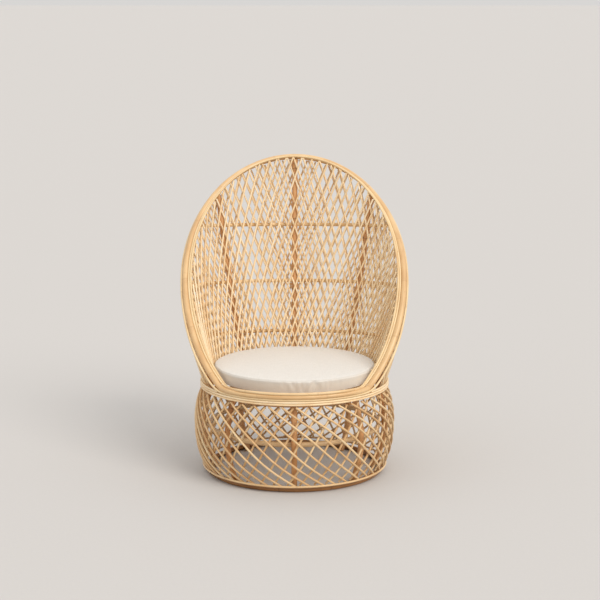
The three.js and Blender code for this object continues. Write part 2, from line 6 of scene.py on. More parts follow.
import bpy
import numpy as np
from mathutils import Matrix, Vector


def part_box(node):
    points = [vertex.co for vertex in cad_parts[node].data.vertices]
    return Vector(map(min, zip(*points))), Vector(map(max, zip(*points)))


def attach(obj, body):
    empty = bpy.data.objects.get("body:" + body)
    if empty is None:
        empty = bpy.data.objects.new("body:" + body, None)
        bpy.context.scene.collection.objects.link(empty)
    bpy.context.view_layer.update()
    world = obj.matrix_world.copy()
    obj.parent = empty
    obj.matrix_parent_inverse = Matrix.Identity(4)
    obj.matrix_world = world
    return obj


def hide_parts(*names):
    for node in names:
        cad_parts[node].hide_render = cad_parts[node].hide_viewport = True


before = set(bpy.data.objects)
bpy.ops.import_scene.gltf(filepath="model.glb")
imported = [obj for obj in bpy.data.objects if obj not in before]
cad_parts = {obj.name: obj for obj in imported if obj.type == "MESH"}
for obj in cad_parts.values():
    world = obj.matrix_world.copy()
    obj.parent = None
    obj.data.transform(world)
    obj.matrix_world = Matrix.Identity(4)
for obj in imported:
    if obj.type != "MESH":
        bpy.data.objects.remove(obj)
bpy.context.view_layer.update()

# Floor ring: the pole that the chair stands on, a length of peeled rattan bent over steam into a hoop.
# Its two ends meet at the back, where they are nailed to the foot of a post.
ring_low, ring_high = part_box("floor_ring")
CHAIR_AXIS = np.array([(ring_low.x + ring_high.x) / 2, (ring_low.y + ring_high.y) / 2, 0.0])
FLOOR_RING_POLE = 0.0200
FLOOR_RING_RADIUS = (ring_high.x - ring_low.x - FLOOR_RING_POLE) / 2
# The ring is worn this much thinner than its solid
FLOOR_RING_WEAR = 0.0008
POLE_SIDES = 20
# Feet are sawn off level, a hair above the floor
FLOOR_CLEARANCE = 0.0004
# Rattan grows in joints: a raised ring on a thick pole, and only a dark mark on a thin cane
POLE_JOINT_SPACING = 0.23
POLE_JOINT_SWELL = 0.0007
POLE_JOINT_WIDTH = 0.0028
JOINT_STATIONS = POLE_JOINT_WIDTH * np.array([-2.4, -1, -0.4, 0, 0.4, 1, 2.4])
# The distance from joint to joint varies by this share, in waves of this share of the distance
JOINT_WANDER = 0.11
JOINT_WAVE = 0.41
# The girth varies by this share, in waves of this length, and the section is a little oval
GIRTH_WANDER = 0.018
GIRTH_WAVE = 0.083
OVAL = 0.025
# A sawn end is rounded over: it stands out by a share of the girth, and its edge draws in to a share
END_BULGE = 0.08
END_EDGE = 0.78
# Sections of the mesh along a length, and the least distance of a joint's sections from its ends
STATION_SPACING = 0.018
END_MARGIN = 0.002
LENGTH_SAMPLES = 400
SHARP_EDGE = math.radians(48)
draw = np.random.default_rng(20)


def spoke(bearing):
    turn = np.radians(np.asarray(bearing, float))
    return np.stack([np.sin(turn), np.cos(turn), np.zeros_like(turn)], axis=-1)


def arc_lengths(line):
    return np.concatenate([[0.0], np.cumsum(np.linalg.norm(np.diff(line, axis=0), axis=1))])


def points_at(places, along, line):
    return np.stack([np.interp(places, along, line[:, axis]) for axis in range(3)], axis=1)


def smooth_part(value, low, high):
    part = np.clip((value - low) / (high - low), 0, 1)
    return part * part * (3 - 2 * part)


# Lengths of round stock in one mesh: each follows a line of points in the chair's own frame, and its
# section is turned by a side direction. A scarfed end thins over a length to a share of the girth.
# The three attributes carry the grain, the joints and the shade.
def round_stock(name, lines, girth, sides=POLE_SIDES, spacing=POLE_JOINT_SPACING,
                swell=POLE_JOINT_SWELL, side=None, scarf=(0.0, 1.0)):
    corners, faces, fibre, growth, tone = [], [], [], [], []
    turn = 2 * math.pi * np.arange(sides) / sides
    for line in lines:
        line = np.asarray(line, float)
        along = arc_lengths(line)
        start = draw.uniform(0, 1)
        shade = draw.beta(2.2, 2.2)
        shift = draw.uniform(0, 9)
        dense = np.linspace(0, along[-1], LENGTH_SAMPLES)
        wander = JOINT_WANDER * np.sin(dense / (JOINT_WAVE * spacing) + 9 * start)
        joints_at = start + dense / spacing + wander
        whole = np.arange(math.ceil(joints_at[0]), math.floor(joints_at[-1]) + 1)
        joints = np.interp(whole, joints_at, dense)
        stations = np.linspace(0, along[-1], max(3, math.ceil(along[-1] / STATION_SPACING)) + 1)
        if swell > 0:
            near = (joints[:, None] + JOINT_STATIONS).ravel()
            near = near[(near > END_MARGIN) & (near < along[-1] - END_MARGIN)]
            stations = np.unique(np.concatenate([stations, near]))
        centre = points_at(stations, along, line)
        tangent = np.gradient(centre, stations, axis=0)
        tangent /= np.linalg.norm(tangent, axis=1)[:, None]
        out = centre * [1, 1, 0] if side is None else np.tile(np.asarray(side, float), (len(centre), 1))
        out = out - tangent * np.sum(out * tangent, axis=1)[:, None]
        out /= np.linalg.norm(out, axis=1)[:, None]
        across = np.cross(tangent, out)
        reach = girth / 2 * (1 + GIRTH_WANDER * np.sin(stations / GIRTH_WAVE + 40 * start))
        for joint in joints:
            reach = reach + swell * np.exp(-(((stations - joint) / POLE_JOINT_WIDTH) ** 2))
        if scarf[0] > 0:
            from_end = np.minimum(stations, along[-1] - stations)
            reach = reach * (scarf[1] + (1 - scarf[1]) * smooth_part(from_end, 0.0, scarf[0]))
        oval = 1 + OVAL * np.cos(2 * turn + 30 * start)
        first_end = centre[:1] - tangent[:1] * girth * END_BULGE
        last_end = centre[-1:] + tangent[-1:] * girth * END_BULGE
        centre = np.concatenate([first_end, centre, last_end])
        out = np.concatenate([out[:1], out, out[-1:]])
        across = np.concatenate([across[:1], across, across[-1:]])
        reach = np.concatenate([reach[:1] * END_EDGE, reach, reach[-1:] * END_EDGE])
        stations = np.concatenate([stations[:1], stations, stations[-1:]])
        ring = reach[:, None] * oval
        points = centre[:, None] + ring[..., None] * (
            np.cos(turn)[:, None] * out[:, None] + np.sin(turn)[:, None] * across[:, None]
        )
        points[..., 2] = np.maximum(points[..., 2], FLOOR_CLEARANCE)
        first = sum(len(c) for c in corners)
        corners.append(points.reshape(-1, 3) + CHAIR_AXIS)
        row, column = np.meshgrid(np.arange(len(centre) - 1), np.arange(sides), indexing="ij")
        beside = (column + 1) % sides
        quads = np.stack([row * sides + column, row * sides + beside, (row + 1) * sides + beside,
                          (row + 1) * sides + column], axis=-1)
        faces.extend((quads.reshape(-1, 4) + first).tolist())
        last = first + (len(centre) - 1) * sides
        faces.append(list(range(first + sides - 1, first - 1, -1)))
        faces.append(list(range(last, last + sides)))
        place = np.stack(np.broadcast_arrays(ring * np.cos(turn) + shift, ring * np.sin(turn),
                                             stations[:, None] + shift), axis=-1)
        fibre.append(place.reshape(-1, 3))
        growth.append(np.repeat(np.interp(stations, dense, joints_at), sides))
        tone.append(np.full(ring.size, shade))
    mesh = bpy.data.meshes.new(name)
    mesh.from_pydata(np.concatenate(corners).tolist(), [], faces)
    for label, kind, field, values in (
        ("fibre", "FLOAT_VECTOR", "vector", fibre),
        ("growth", "FLOAT", "value", growth),
        ("tone", "FLOAT", "value", tone),
    ):
        mesh.attributes.new(label, kind, "POINT").data.foreach_set(
            field, np.concatenate(values).astype(np.float32).ravel()
        )
    mesh.shade_smooth()
    mesh.set_sharp_from_angle(angle=SHARP_EDGE)
    piece = bpy.data.objects.new(name, mesh)
    bpy.context.scene.collection.objects.link(piece)
    return piece


# Every piece but the cushion is nailed or bound to the frame
def fix(piece, material, slot, *nodes):
    piece.data.materials.append(material)
    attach(piece, "frame")
    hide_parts(*nodes)


# A colour written as in sRGB, in linear light
def linear(code):
    levels = [int(code[i:i + 2], 16) / 255 for i in (0, 2, 4)]
    return [c / 12.92 if c <= 0.04045 else ((c + 0.055) / 1.055) ** 2.4 for c in levels] + [1.0]


def add_node(tree, kind, inputs=None, **settings):
    made = tree.nodes.new(kind)
    for label, value in settings.items():
        setattr(made, label, value)
    for socket, value in (inputs or {}).items():
        if isinstance(value, bpy.types.NodeSocket):
            tree.links.new(value, made.inputs[socket])
        else:
            made.inputs[socket].default_value = value
    return made


# Peeled rattan under satin lacquer: fine fibres run along it, its colour drifts every hand's breadth from
# straw to amber, and each growth joint leaves a dark ring. Lacquer gives a soft, broken highlight.
FIBRE_WIDTH = 0.0011
FIBRE_LENGTH = 0.055
DRIFT_WIDTH = 0.030
DRIFT_LENGTH = 0.110
SCAR_WIDTH = 0.0035
SCAR_LENGTH = 0.018
# How far the grain and the shade of a whole length shift the drift, whose range runs from pale to amber
GRAIN_SHARE = 0.45
TONE_SHARE = 0.55
SHADE_RANGE = (0.62, 1.38)
# Share of the distance between two joints that a joint's dark ring takes up, and where the stain starts
JOINT_SHARE = 0.010
STAIN_START = 0.80
STAIN_SHARE = 0.5
SCAR_RANGE = (0.62, 0.74)
SCAR_DARKNESS = 0.32
# Lacquer is smoother or rougher than its own roughness by this much, as the grain goes from low to high
GRAIN_RANGE = (0.4, 1.1)
SMOOTHER = 0.07
ROUGHER = 0.09
COAT_ROUGHNESS = 0.32
# Joint rings and scars are sunk by this share of the grain's relief
MARK_RELIEF = 0.8
GRAIN_RELIEF = 0.0006
GRAIN_STRENGTH = 0.35
RATTAN_IOR = 1.47


def rattan(name, pale, honey, amber, joint, roughness, lacquer, joint_mark):
    material = bpy.data.materials.new(name)
    material.use_nodes = True
    tree = material.node_tree
    shader = tree.nodes["Principled BSDF"]
    fibre = add_node(tree, "ShaderNodeAttribute", attribute_name="fibre")
    growth = add_node(tree, "ShaderNodeAttribute", attribute_name="growth")
    tone = add_node(tree, "ShaderNodeAttribute", attribute_name="tone")
    # Real fibres are 0.2 mm across; they are drawn 1.1 mm across so that they show
    along_fibre = add_node(tree, "ShaderNodeMapping", {
        "Vector": fibre.outputs["Vector"], "Scale": (1 / FIBRE_WIDTH, 1 / FIBRE_WIDTH, 1 / FIBRE_LENGTH)})
    grain = add_node(tree, "ShaderNodeTexNoise", {
        "Vector": along_fibre.outputs["Vector"], "Scale": 1.0, "Detail": 3.0, "Roughness": 0.6})
    along_drift = add_node(tree, "ShaderNodeMapping", {
        "Vector": fibre.outputs["Vector"], "Scale": (1 / DRIFT_WIDTH, 1 / DRIFT_WIDTH, 1 / DRIFT_LENGTH)})
    drift = add_node(tree, "ShaderNodeTexNoise", {
        "Vector": along_drift.outputs["Vector"], "Scale": 1.0, "Detail": 2.0, "Roughness": 0.55})
    grain_and_drift = add_node(tree, "ShaderNodeMath", {
        0: grain.outputs["Fac"], 1: GRAIN_SHARE, 2: drift.outputs["Fac"]}, operation="MULTIPLY_ADD")
    shade = add_node(tree, "ShaderNodeMath", {
        0: tone.outputs["Fac"], 1: TONE_SHARE, 2: grain_and_drift.outputs["Value"]},
        operation="MULTIPLY_ADD")
    level = add_node(tree, "ShaderNodeMapRange", {
        "Value": shade.outputs["Value"], "From Min": SHADE_RANGE[0], "From Max": SHADE_RANGE[1]})
    colour = add_node(tree, "ShaderNodeValToRGB", {"Fac": level.outputs["Result"]})
    stops = colour.color_ramp.elements
    stops[0].color = linear(pale)
    stops[1].color = linear(amber)
    stops.new(0.5).color = linear(honey)
    # A joint lies where the growth count is a whole number
    part = add_node(tree, "ShaderNodeMath", {0: growth.outputs["Fac"]}, operation="FRACT")
    from_middle = add_node(tree, "ShaderNodeMath", {0: part.outputs["Value"], 1: 0.5}, operation="SUBTRACT")
    distance = add_node(tree, "ShaderNodeMath", {0: from_middle.outputs["Value"]}, operation="ABSOLUTE")
    ring = add_node(tree, "ShaderNodeMapRange", {
        "Value": distance.outputs["Value"],
        "From Min": 0.5 - 1.8 * JOINT_SHARE, "From Max": 0.5 - 0.4 * JOINT_SHARE},
        interpolation_type="SMOOTHSTEP")
    # Old leaf sheaths leave a stain that fades below each joint
    stain = add_node(tree, "ShaderNodeMapRange", {
        "Value": part.outputs["Value"], "From Min": STAIN_START, "From Max": 1.0,
        "To Max": STAIN_SHARE * joint_mark}, interpolation_type="SMOOTHSTEP")
    mark = add_node(tree, "ShaderNodeMath", {
        0: ring.outputs["Result"], 1: joint_mark, 2: stain.outputs["Result"]}, operation="MULTIPLY_ADD")
    # Short brown scars are left where the skin was scraped off
    along_scar = add_node(tree, "ShaderNodeMapping", {
        "Vector": fibre.outputs["Vector"], "Scale": (1 / SCAR_WIDTH, 1 / SCAR_WIDTH, 1 / SCAR_LENGTH)})
    scrape = add_node(tree, "ShaderNodeTexNoise", {
        "Vector": along_scar.outputs["Vector"], "Scale": 1.0, "Detail": 2.0, "Roughness": 0.5})
    scar = add_node(tree, "ShaderNodeMapRange", {
        "Value": scrape.outputs["Fac"], "From Min": SCAR_RANGE[0], "From Max": SCAR_RANGE[1],
        "To Max": SCAR_DARKNESS}, interpolation_type="SMOOTHSTEP")
    worn = add_node(tree, "ShaderNodeMath", {
        0: mark.outputs["Value"], 1: scar.outputs["Result"]}, operation="ADD", use_clamp=True)
    marked = add_node(tree, "ShaderNodeMix", {
        "Factor": worn.outputs["Value"], 6: colour.outputs["Color"], 7: linear(joint)}, data_type="RGBA")
    tree.links.new(marked.outputs[2], shader.inputs["Base Color"])
    sheen = add_node(tree, "ShaderNodeMapRange", {
        "Value": grain_and_drift.outputs["Value"], "From Min": GRAIN_RANGE[0], "From Max": GRAIN_RANGE[1],
        "To Min": roughness - SMOOTHER, "To Max": roughness + ROUGHER})
    tree.links.new(sheen.outputs["Result"], shader.inputs["Roughness"])
    height = add_node(tree, "ShaderNodeMath", {
        0: worn.outputs["Value"], 1: -MARK_RELIEF, 2: grain.outputs["Fac"]}, operation="MULTIPLY_ADD")
    bump = add_node(tree, "ShaderNodeBump", {
        "Height": height.outputs["Value"], "Strength": GRAIN_STRENGTH, "Distance": GRAIN_RELIEF})
    tree.links.new(bump.outputs["Normal"], shader.inputs["Normal"])
    shader.inputs["IOR"].default_value = RATTAN_IOR
    shader.inputs["Coat Weight"].default_value = lacquer
    shader.inputs["Coat Roughness"].default_value = COAT_ROUGHNESS
    return material


def level_ring(radius, height, start=1.0, end=359.0, steps=240):
    line = spoke(np.linspace(start, end, steps)) * radius
    line[:, 2] = height
    return line


# The foot ring's colours are darker than the other poles' as painted shade for the shadow under the belly;
# its duller lacquer is wear
foot_pole_painted_shade = rattan("scuffed_rattan_pole_painted_shade", "BE8C56", "9F6E3D", "7F532A", "4E3018", 0.52, 0.14, 0.40)
floor_ring_line = level_ring(FLOOR_RING_RADIUS, FLOOR_RING_POLE / 2)
fix(round_stock("foot_ring", [floor_ring_line], FLOOR_RING_POLE - FLOOR_RING_WEAR),
    foot_pole_painted_shade, "pole", "floor_ring")

# Posts: eight rattan poles that carry the chair. They follow the belly of the base just inside its canes,
# step in at the waist, and five of them go on up the flaring back to the rim.
POST_POLE = 0.0212
POST_FOOT_RADIUS = 0.3055
POST_TOP_RADIUS = 0.3100
POST_BELLY = 0.0340
# A post leaves the belly at the first height, is on the line of the back from the second, and bends softly
POST_WAIST_Z = 0.306
POST_BACK_Z = 0.362
POST_BEND = 0.022
POST_STEPS = 160
# Its top ends this far under the line of the rim, or at this height at the front
POST_UNDER_RIM = 0.0125
FRONT_POST_TOP = 0.336
BACK_CORNER = 38.5
SIDE = 88
FRONT_CORNER = 134.5
BASE_FOOT_Z = 0.0203
BASE_TOP_Z = 0.318
# The back flares from the seat, and a little less the higher it gets
SEAT_Z = 0.350
SEAT_RADIUS = 0.3185
FLARE = 0.319
FLARE_EASE = 0.106
BACK_FOOT_Z = 0.345
# The rim falls from the middle of the back to its feet as part of a cosine wave, steeper near the feet
RIM_TOP_Z = 1.137
RIM_FOOT_Z = 0.355
RIM_REACH = 129
RIM_TURN = math.radians(168)
RIM_DIP = 0.055


# A point that stands off a round shell, square to it, where the shell has a radius and a slope
def shell_point(bearing, height, radius, slope, offset):
    normal = spoke(bearing)
    point = normal * radius[..., None]
    point[..., 2] = height
    normal[..., 2] = -slope
    return point + normal / np.linalg.norm(normal, axis=-1)[..., None] * np.asarray(offset)[..., None]


def back_radius(height):
    rise = height - SEAT_Z
    return SEAT_RADIUS + FLARE * rise - FLARE_EASE * rise * rise


def back_point(bearing, height, offset):
    bearing, height, offset = np.broadcast_arrays(np.asarray(bearing, float), height, offset)
    slope = FLARE - 2 * FLARE_EASE * (height - SEAT_Z)
    return shell_point(bearing, height, back_radius(height), slope, offset)


def rim_height(bearing):
    part = np.minimum(np.abs(np.asarray(bearing, float)) / RIM_REACH, 1)
    turn = RIM_TURN * ((1 - RIM_DIP) * part + RIM_DIP * part ** 4)
    return RIM_TOP_Z - (RIM_TOP_Z - RIM_FOOT_Z) * (1 - np.cos(turn)) / (1 - math.cos(RIM_TURN))


# Height at a bearing that lies a distance under the line of the rim, measured square to that line
def under_rim(bearing, distance):
    step = 0.1
    fall = rim_height(bearing + step) - rim_height(bearing - step)
    run = math.radians(2 * step) * back_radius(rim_height(bearing))
    return rim_height(bearing) - distance * np.hypot(1, fall / run)


# A line smoothed by a bell-shaped mean over a number of points on either side. It comes padded by that many
# points at each end, which are used up.
def softened(padded, half):
    weights = np.hanning(2 * half + 3)[1:-1]
    weights = weights / weights.sum()
    return np.stack([np.convolve(padded[:, axis], weights, "valid") for axis in range(3)], axis=1)


# A bent pole rounds off the corners of the line it is drawn on
def eased(line, steps, width):
    along = arc_lengths(line)
    even = np.linspace(0, along[-1], steps)
    line = points_at(even, along, line)
    half = max(1, round(width / (even[1] - even[0])))
    padded = np.concatenate([2 * line[0] - line[half:0:-1], line, 2 * line[-1] - line[-2:-half - 2:-1]])
    return softened(padded, half)


def post_line(bearing, top):
    height = np.linspace(0.0, POST_WAIST_Z, 40)
    part = (height - BASE_FOOT_Z) / (BASE_TOP_Z - BASE_FOOT_Z)
    radius = POST_FOOT_RADIUS + (POST_TOP_RADIUS - POST_FOOT_RADIUS) * part
    radius += 4 * POST_BELLY * part * (1 - part)
    in_base = spoke(bearing) * radius[:, None]
    in_base[:, 2] = height
    if top <= FRONT_POST_TOP:
        upper = spoke([bearing]) * radius[-1]
        upper[:, 2] = top
    else:
        upper = back_point(bearing, np.linspace(POST_BACK_Z, top, 60), 0.0)
    return eased(np.concatenate([in_base, upper]), POST_STEPS, POST_BEND)


smoked_pole = rattan("smoked_rattan_pole", "DEAF7B", "CC965F", "AD7542", "6E4724", 0.46, 0.22, 0.40)
back_posts = {"back_post": 0, "back_left_post": -BACK_CORNER, "back_right_post": BACK_CORNER,
              "left_side_post": -SIDE, "right_side_post": SIDE}
front_posts = {"front_left_post": -FRONT_CORNER, "front_right_post": FRONT_CORNER, "front_post": 180}
for node, bearing in back_posts.items():
    line = post_line(bearing, float(under_rim(bearing, POST_UNDER_RIM)))
    fix(round_stock("pole_" + node, [line], POST_POLE), smoked_pole, "pole", node)
for node, bearing in front_posts.items():
    line = post_line(bearing, FRONT_POST_TOP)
    fix(round_stock("pole_" + node, [line], POST_POLE), smoked_pole, "pole", node)

# Hoops of the base: one, of honey-coloured rattan, ties the posts together half way up, and the other, of the
# same smoked rattan as the posts, carries the seat. Both are bent and nailed to the posts from inside.
MID_HOOP_POLE = 0.0185
MID_HOOP_Z = 0.175
SEAT_HOOP_POLE = 0.0195
SEAT_HOOP_Z = 0.316


# Radius of a ring of the chair on the centre line of its pole
def ring_radius(node, girth):
    low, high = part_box(node)
    return (high.x - low.x - girth) / 2


MID_HOOP_RADIUS = ring_radius("mid_hoop", MID_HOOP_POLE)
SEAT_HOOP_RADIUS = ring_radius("seat_hoop", SEAT_HOOP_POLE)
honey_pole = rattan("honey_rattan_pole", "DABF94", "CFAC7D", "BE9363", "90663B", 0.40, 0.30, 0.16)
fix(round_stock("belly_hoop", [level_ring(MID_HOOP_RADIUS, MID_HOOP_Z)], MID_HOOP_POLE),
    honey_pole, "rim", "mid_hoop")
fix(round_stock("seat_ring", [level_ring(SEAT_HOOP_RADIUS, SEAT_HOOP_Z)], SEAT_HOOP_POLE),
    smoked_pole, "pole", "seat_hoop")

# Seat: three bearers laid across the seat hoop from front to back, and seven thin slats across them.
# They are nailed down, and the cushion hides them from above.
BEARER_POLE = 0.0178
BEARER_SPACING = 0.150
BEARER_Z = 0.3353
SLAT_CANE = 0.0098
SLATS = 7
# Slats end on a circle of this radius, and the first and the last lie at a share of it
SLAT_REACH = 0.2865
SLAT_SPREAD = 0.84
SLAT_Z = 0.3496
THIN_SIDES = 12
upward = (0, 0, 1)
peeled_cane = rattan("peeled_rattan_cane", "F8E6C6", "EFD4A9", "DFB987", "AE8251", 0.42, 0.26, 0.14)
for node, x in (("left", -BEARER_SPACING), ("middle", 0.0), ("right", BEARER_SPACING)):
    half = math.sqrt(SEAT_HOOP_RADIUS ** 2 - x * x)
    line = [[x, -half, BEARER_Z], [x, half, BEARER_Z]]
    fix(round_stock("bearer_" + node, [line], BEARER_POLE, side=upward),
        smoked_pole, "pole", "seat_bearer_" + node)
for number, y in enumerate(np.linspace(-SLAT_SPREAD, SLAT_SPREAD, SLATS) * SLAT_REACH, 1):
    half = math.sqrt(SLAT_REACH ** 2 - (abs(y) + SLAT_CANE / 2) ** 2)
    line = [[-half, y, SLAT_Z], [half, y, SLAT_Z]]
    fix(round_stock(f"slat_{number}", [line], SLAT_CANE, THIN_SIDES, swell=0, side=upward),
        peeled_cane, "cane", f"seat_slat_{number}")

# Base lattice: two layers of thin peeled canes nailed over the posts, 42 in each. The inner layer leans one
# way and the outer layer crosses it at a flatter angle, so that the openings are long diamonds.
BASE_CANE = 0.0080
BASE_CANES = 42
BASE_FOOT_RADIUS = 0.340
BASE_TOP_RADIUS = 0.352
BASE_BELLY = 0.0315
# A barrel with full shoulders; 2 would give a plain round belly
BASE_FULLNESS = 2.5
BASE_OUTER_INSET = -0.0042
BASE_INNER_INSET = -0.0122
BASE_OUTER_SWEEP = 59
BASE_INNER_SWEEP = -30
# The canes lean more near both ends, by this share of the sweep
BASE_SWEEP_BEND = 0.03
# Bearing of the first cane's top, as a share of the distance between two canes
BASE_OUTER_START = 0.65
BASE_INNER_START = 0.13
# Canes run from just above the foot of the lattice into the band, and the sweep counts from a height under it
BASE_CANE_LOW = BASE_FOOT_Z + 0.0015
BASE_CANE_HIGH = 0.3205
BASE_SWEEP_TOP = 0.314
# By hand no two canes lie quite alike: they stray by these angles in place, in sweep and in bow
BASE_STRAY = 0.25
BASE_SWEEP_STRAY = 0.5
BASE_BOW = 0.2
CANE_SIDES = 10
CANE_JOINT_SPACING = 0.31


# Thin canes have no raised joints
def cane_stock(name, lines, girth, sides, scarf=(0.0, 1.0)):
    return round_stock(name, lines, girth, sides, CANE_JOINT_SPACING, 0, scarf=scarf)


def base_point(bearing, height, offset):
    bearing, height, offset = np.broadcast_arrays(np.asarray(bearing, float), height, offset)
    tall = BASE_TOP_Z - BASE_FOOT_Z
    part = (height - BASE_FOOT_Z) / tall
    from_middle = 2 * part - 1
    belly = BASE_BELLY * (1 - np.abs(from_middle) ** BASE_FULLNESS)
    radius = BASE_FOOT_RADIUS + (BASE_TOP_RADIUS - BASE_FOOT_RADIUS) * part + belly
    bend = 2 * BASE_BELLY * BASE_FULLNESS * np.sign(from_middle) * np.abs(from_middle) ** (BASE_FULLNESS - 1)
    return shell_point(bearing, height, radius, (BASE_TOP_RADIUS - BASE_FOOT_RADIUS - bend) / tall, offset)


def base_canes(sweep, inset, start):
    lines = []
    for i in range(BASE_CANES):
        top = 360 * (i + start) / BASE_CANES + draw.normal(0, BASE_STRAY)
        lean = sweep + draw.normal(0, BASE_SWEEP_STRAY)
        height = np.linspace(BASE_CANE_LOW, BASE_CANE_HIGH, 50)
        part = (BASE_SWEEP_TOP - height) / (BASE_TOP_Z - BASE_FOOT_Z)
        bow = draw.normal(0, BASE_BOW) * np.sin(np.pi * part)
        turned = lean * (part + BASE_SWEEP_BEND * np.sin(2 * np.pi * part))
        lines.append(base_point(top - turned + bow, height, inset))
    return lines


# A darker, more amber cane than the back's: partly the base's own more golden colour, partly painted shade
# for the lower light round the base
golden_cane_painted_shade = rattan("golden_rattan_cane_painted_shade", "E8CEA2", "DCB988", "C99E69", "94673A", 0.42, 0.26, 0.16)
inner_nodes = [f"base_inner_canes_{i}" for i in range(1, 7)]
inner_lines = base_canes(BASE_INNER_SWEEP, BASE_INNER_INSET, BASE_INNER_START)
fix(cane_stock("base_inner_lattice", inner_lines, BASE_CANE, CANE_SIDES), golden_cane_painted_shade, "cane", *inner_nodes)
outer_lines = base_canes(BASE_OUTER_SWEEP, BASE_OUTER_INSET, BASE_OUTER_START)
fix(cane_stock("base_outer_lattice", outer_lines, BASE_CANE, CANE_SIDES),
    golden_cane_painted_shade, "cane", "base_outer_canes")

# Floor binder: one thin cane pulled round the feet of the base lattice and pinned, which hides their ends. It
# is the same golden cane as the lattice, and its ends meet at the back.
FLOOR_BINDER_CANE = 0.0080
FLOOR_BINDER_Z = 0.0246
FLOOR_BINDER_RADIUS = ring_radius("floor_binder", FLOOR_BINDER_CANE)
FLOOR_BINDER_START = 20
# A ring of cane ends this many degrees short of a whole turn
RING_GAP = 2
floor_binder_end = FLOOR_BINDER_START + 360 - RING_GAP
floor_binder_line = level_ring(FLOOR_BINDER_RADIUS, FLOOR_BINDER_Z, FLOOR_BINDER_START, floor_binder_end)
fix(cane_stock("foot_binder", [floor_binder_line], FLOOR_BINDER_CANE, CANE_SIDES),
    golden_cane_painted_shade, "cane", "floor_binder")

# Back hoops: three levels of bent rattan between the posts of the back, in short lengths that butt against
# the posts and rise a little towards the front.
BACK_HOOP_POLE = 0.0140
BACK_HOOP_TILT = 5.5
BACK_HOOP_SIDES = 16
# Heights of the three levels at the middle of the back, as shares of the way from the seat to the rim
HOOP_SHARES = {"low": 0.14, "mid": 0.384, "top": 0.661}
# Hoops stop this far from the middle of a post and this far under the line of the rim
HOOP_POST_ROOM = 0.0101
HOOP_UNDER_RIM = 0.0185


def hoop_height(bearing, middle):
    forward = back_radius(middle) * (1 - np.cos(np.radians(bearing)))
    return middle + math.tan(math.radians(BACK_HOOP_TILT)) * forward


golden_pole = rattan("golden_rattan_pole", "F3D9B0", "E8C796", "D6AC74", "A2733F", 0.44, 0.24, 0.20)
for level, share in HOOP_SHARES.items():
    middle = SEAT_Z + share * (RIM_TOP_Z - SEAT_Z)
    clear = math.degrees(HOOP_POST_ROOM / back_radius(middle))
    reach = np.linspace(BACK_CORNER + clear, SIDE - clear, 400)
    end = reach[hoop_height(reach, middle) < under_rim(reach, HOOP_UNDER_RIM)][-1]
    for node, start, stop in (("left", -BACK_CORNER + clear, -clear),
                              ("right", clear, BACK_CORNER - clear),
                              ("far_left", -end, -BACK_CORNER - clear),
                              ("far_right", BACK_CORNER + clear, end)):
        bearing = np.linspace(start, stop, 40)
        line = back_point(bearing, hoop_height(bearing, middle), 0.0)
        fix(round_stock(f"stay_{level}_{node}", [line], BACK_HOOP_POLE, BACK_HOOP_SIDES),
            golden_pole, "pole", f"{level}_hoop_{node}")

# Back lattice: two layers of thin peeled canes on the inside of the posts and two on the outside, about 56 in
# each. Every cane leans 21 degrees; they fan out with the flare and end under the rim. The canes of the outer
# pair are nailed on between those of the inner pair, which makes the mesh finer.
BACK_CANE = 0.0068
BACK_CANES = 56
BACK_CANE_SIDES = 8
BACK_PITCH = 4
BACK_LEAN = 21
# Canes stray by these angles in place, in lean and in a slow sway of this wave length along them
BACK_STRAY = 0.14
BACK_LEAN_STRAY = 0.2
BACK_SWAY = 0.12
BACK_SWAY_WAVE = 0.13
# They start below the seat and end under the line of the rim, further under it on the outside
BACK_CANE_LOW = BACK_FOOT_Z - 0.006
INNER_UNDER_RIM = 0.0052
OUTER_UNDER_RIM = 0.0125
# No cane goes further round to the front than this, and shorter ends than this are left out
BACK_CANE_REACH = 123
SHORTEST_CANE = 0.03
# Name, side to which the canes rise, distance from the middle of the posts, number of canes, nodes
LAYERS = (("inner", 1, -0.0211, BACK_CANES, ["back_inner_canes"]),
          ("inner_cross", -1, -0.0149, BACK_CANES, [f"back_cross_canes_{i}" for i in range(1, 5)]),
          ("outer_cross", -1, 0.0188, BACK_CANES - 1, ["back_outer_cross_canes"]),
          ("outer", 1, 0.0250, BACK_CANES - 1, ["back_outer_canes"]))


def back_canes(side, offset, count):
    lines = []
    for i in range(count):
        foot = (i - (count - 1) / 2) * BACK_PITCH + draw.normal(0, BACK_STRAY)
        lean = math.tan(math.radians(BACK_LEAN + draw.normal(0, BACK_LEAN_STRAY)))
        sway = draw.normal(0, BACK_SWAY)
        height = np.linspace(BACK_CANE_LOW, RIM_TOP_Z, 300)
        steps = np.diff(height) / back_radius((height[1:] + height[:-1]) / 2)
        drift = np.degrees(lean * np.concatenate([[0.0], np.cumsum(steps)]))
        bearing = foot + side * drift + sway * np.sin((height - BACK_FOOT_Z) / BACK_SWAY_WAVE)
        top_distance = INNER_UNDER_RIM if offset < 0 else OUTER_UNDER_RIM
        below = height < under_rim(np.clip(bearing, -RIM_REACH, RIM_REACH), top_distance)
        below &= np.abs(bearing) < BACK_CANE_REACH
        stop = len(height) if below.all() else int(np.argmin(below))
        if stop > 3 and height[stop - 1] > BACK_FOOT_Z + SHORTEST_CANE:
            lines.append(back_point(bearing[:stop], height[:stop], offset))
    return lines


for label, side, offset, count, nodes in LAYERS:
    lines = back_canes(side, offset, count)
    fix(cane_stock("back_lattice_" + label, lines, BACK_CANE, BACK_CANE_SIDES), peeled_cane, "cane", *nodes)

